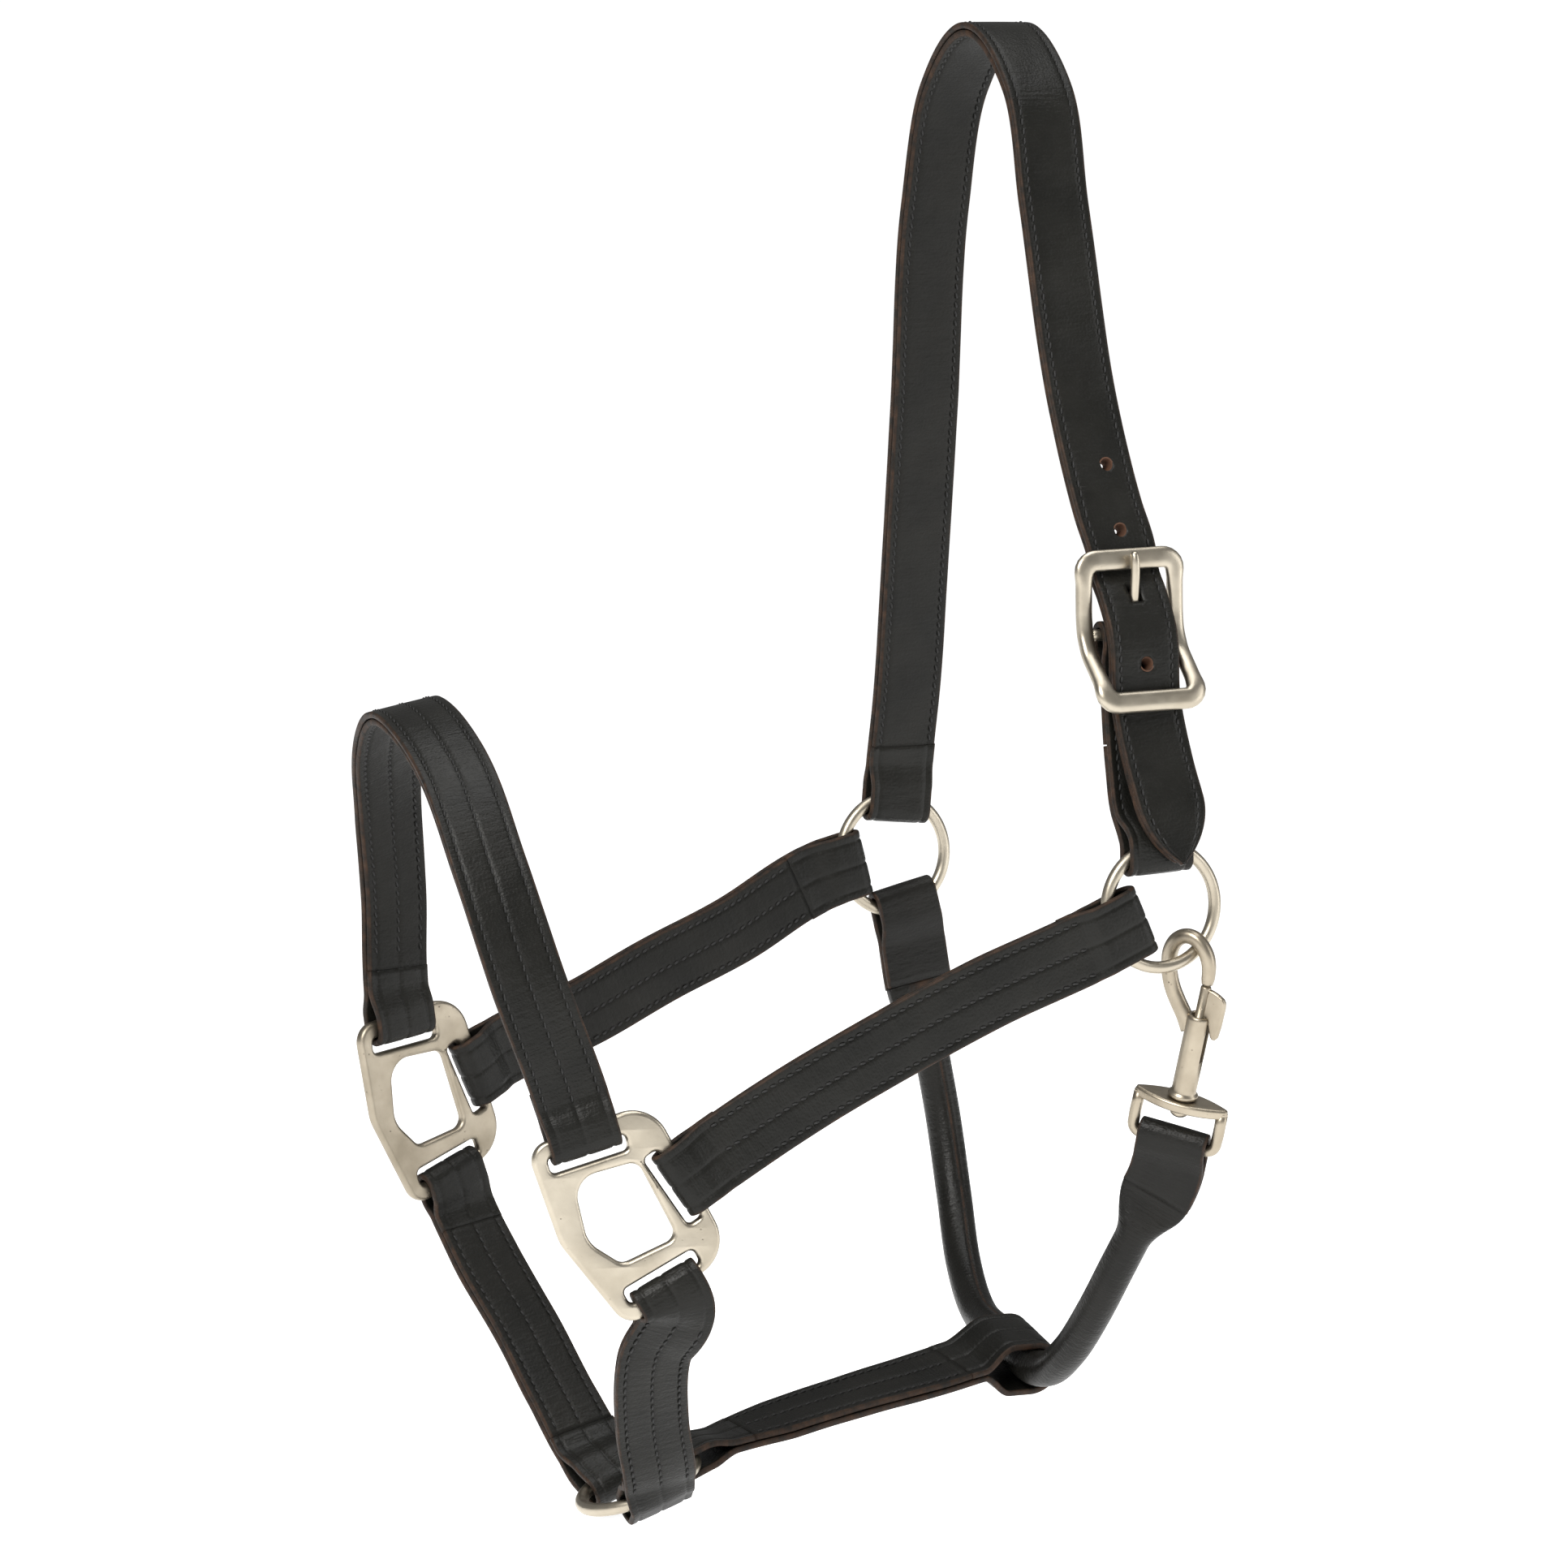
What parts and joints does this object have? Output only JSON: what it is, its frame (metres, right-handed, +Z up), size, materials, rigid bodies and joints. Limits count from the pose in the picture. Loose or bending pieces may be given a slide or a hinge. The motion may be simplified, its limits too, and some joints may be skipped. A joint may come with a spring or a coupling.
{
  "type": "leather headcollar",
  "caption": "Black leather horse headcollar: lined straps, cheek rings, cast squares, lead ring, buckled crown and a trigger snap that clips a rolled throat to a cheek ring.",
  "frame": {"origin": "the underside of the crown at the poll, where the headcollar hangs", "axes": "+Z up, the nose toward -X, the horse's left (near) side toward -Y"},
  "size_m": [0.2696, 0.2244, 0.5067],
  "materials": {
    "black_leather": "black bridle leather, soft sheen, burnished edges",
    "lining_leather": "black lining leather, matt, brown raw edges",
    "core_cord": "plain cord filling inside the rolled throat",
    "satin_nickel": "satin nickel plate with a warm tint and fine wear",
    "worn_nickel": "satin nickel plate, duller, with small pits",
    "spring_wire": "plain drawn spring wire"
  },
  "bodies": {
    "headpiece": {"crown_strap": "black_leather", "crown_lining": "lining_leather", "buckle_strap": "black_leather", "buckle_frame": "satin_nickel"},
    "nose_and_throat": {"near_cheek_strap": "black_leather", "near_cheek_lining": "lining_leather", "far_cheek_strap": "black_leather", "far_cheek_lining": "lining_leather", "near_square": "satin_nickel", "far_square": "worn_nickel", "nose_strap": "black_leather", "nose_lining": "lining_leather", "near_chin_strap": "black_leather", "near_chin_lining": "lining_leather", "far_chin_strap": "black_leather", "far_chin_lining": "lining_leather", "jaw_strap": "black_leather", "jaw_lining": "lining_leather", "throat_strap": "black_leather", "throat_far_end": "black_leather", "throat_near_end": "black_leather", "throat_core": "core_cord"},
    "buckle_tongue": {"buckle_tongue": "satin_nickel"},
    "near_ring": {"near_ring": "satin_nickel"},
    "far_ring": {"far_ring": "satin_nickel"},
    "lead_ring": {"lead_ring": "satin_nickel"},
    "swivel_eye": {"swivel_eye": "satin_nickel"},
    "snap_body": {"snap_body": "satin_nickel", "swivel_rivet": "satin_nickel", "snap_spring": "spring_wire"},
    "snap_bolt": {"snap_bolt": "satin_nickel"}
  },
  "joints": [
    {"name": "nose_drop", "type": "hinge", "parent": "headpiece", "child": "nose_and_throat", "pos_m": [0.0054, 0, -0.29], "axis": [0, -1, 0], "range_deg": [-1, 24]},
    {"name": "near_ring_spin", "type": "hinge", "parent": "headpiece", "child": "near_ring", "pos_m": [0.0054, -0.103, -0.29], "axis": [0, 1, 0], "continuous": true},
    {"name": "far_ring_spin", "type": "hinge", "parent": "headpiece", "child": "far_ring", "pos_m": [0.0054, 0.103, -0.29], "axis": [0, 1, 0], "continuous": true},
    {"name": "lead_ring_spin", "type": "hinge", "parent": "nose_and_throat", "child": "lead_ring", "pos_m": [-0.1403, 0, -0.49], "axis": [-0.3746, 0, 0.9272], "continuous": true},
    {"name": "tongue_lift", "type": "hinge", "parent": "headpiece", "child": "buckle_tongue", "pos_m": [0.0022, -0.086, -0.1992], "axis": [0.9994, 0, 0.0352], "range_deg": [0, 5]},
    {"name": "eye_rock", "type": "hinge", "parent": "nose_and_throat", "child": "swivel_eye", "pos_m": [0.019, -0.0865, -0.3717], "axis": [0.7477, -0.6139, -0.2529], "range_deg": [0, 1]},
    {"name": "snap_swivel", "type": "hinge", "parent": "swivel_eye", "child": "snap_body", "pos_m": [0.019, -0.0865, -0.3717], "axis": [0.033, -0.3461, 0.9376], "range_deg": [-1, 8]},
    {"name": "bolt_slide", "type": "slide", "parent": "snap_body", "child": "snap_bolt", "axis": [-0.033, 0.3461, -0.9376], "range_m": [0, 0.007], "stiffness_N_per_m": 500, "springref_m": -0.004, "deforming": ["snap_spring"]}
  ]
}
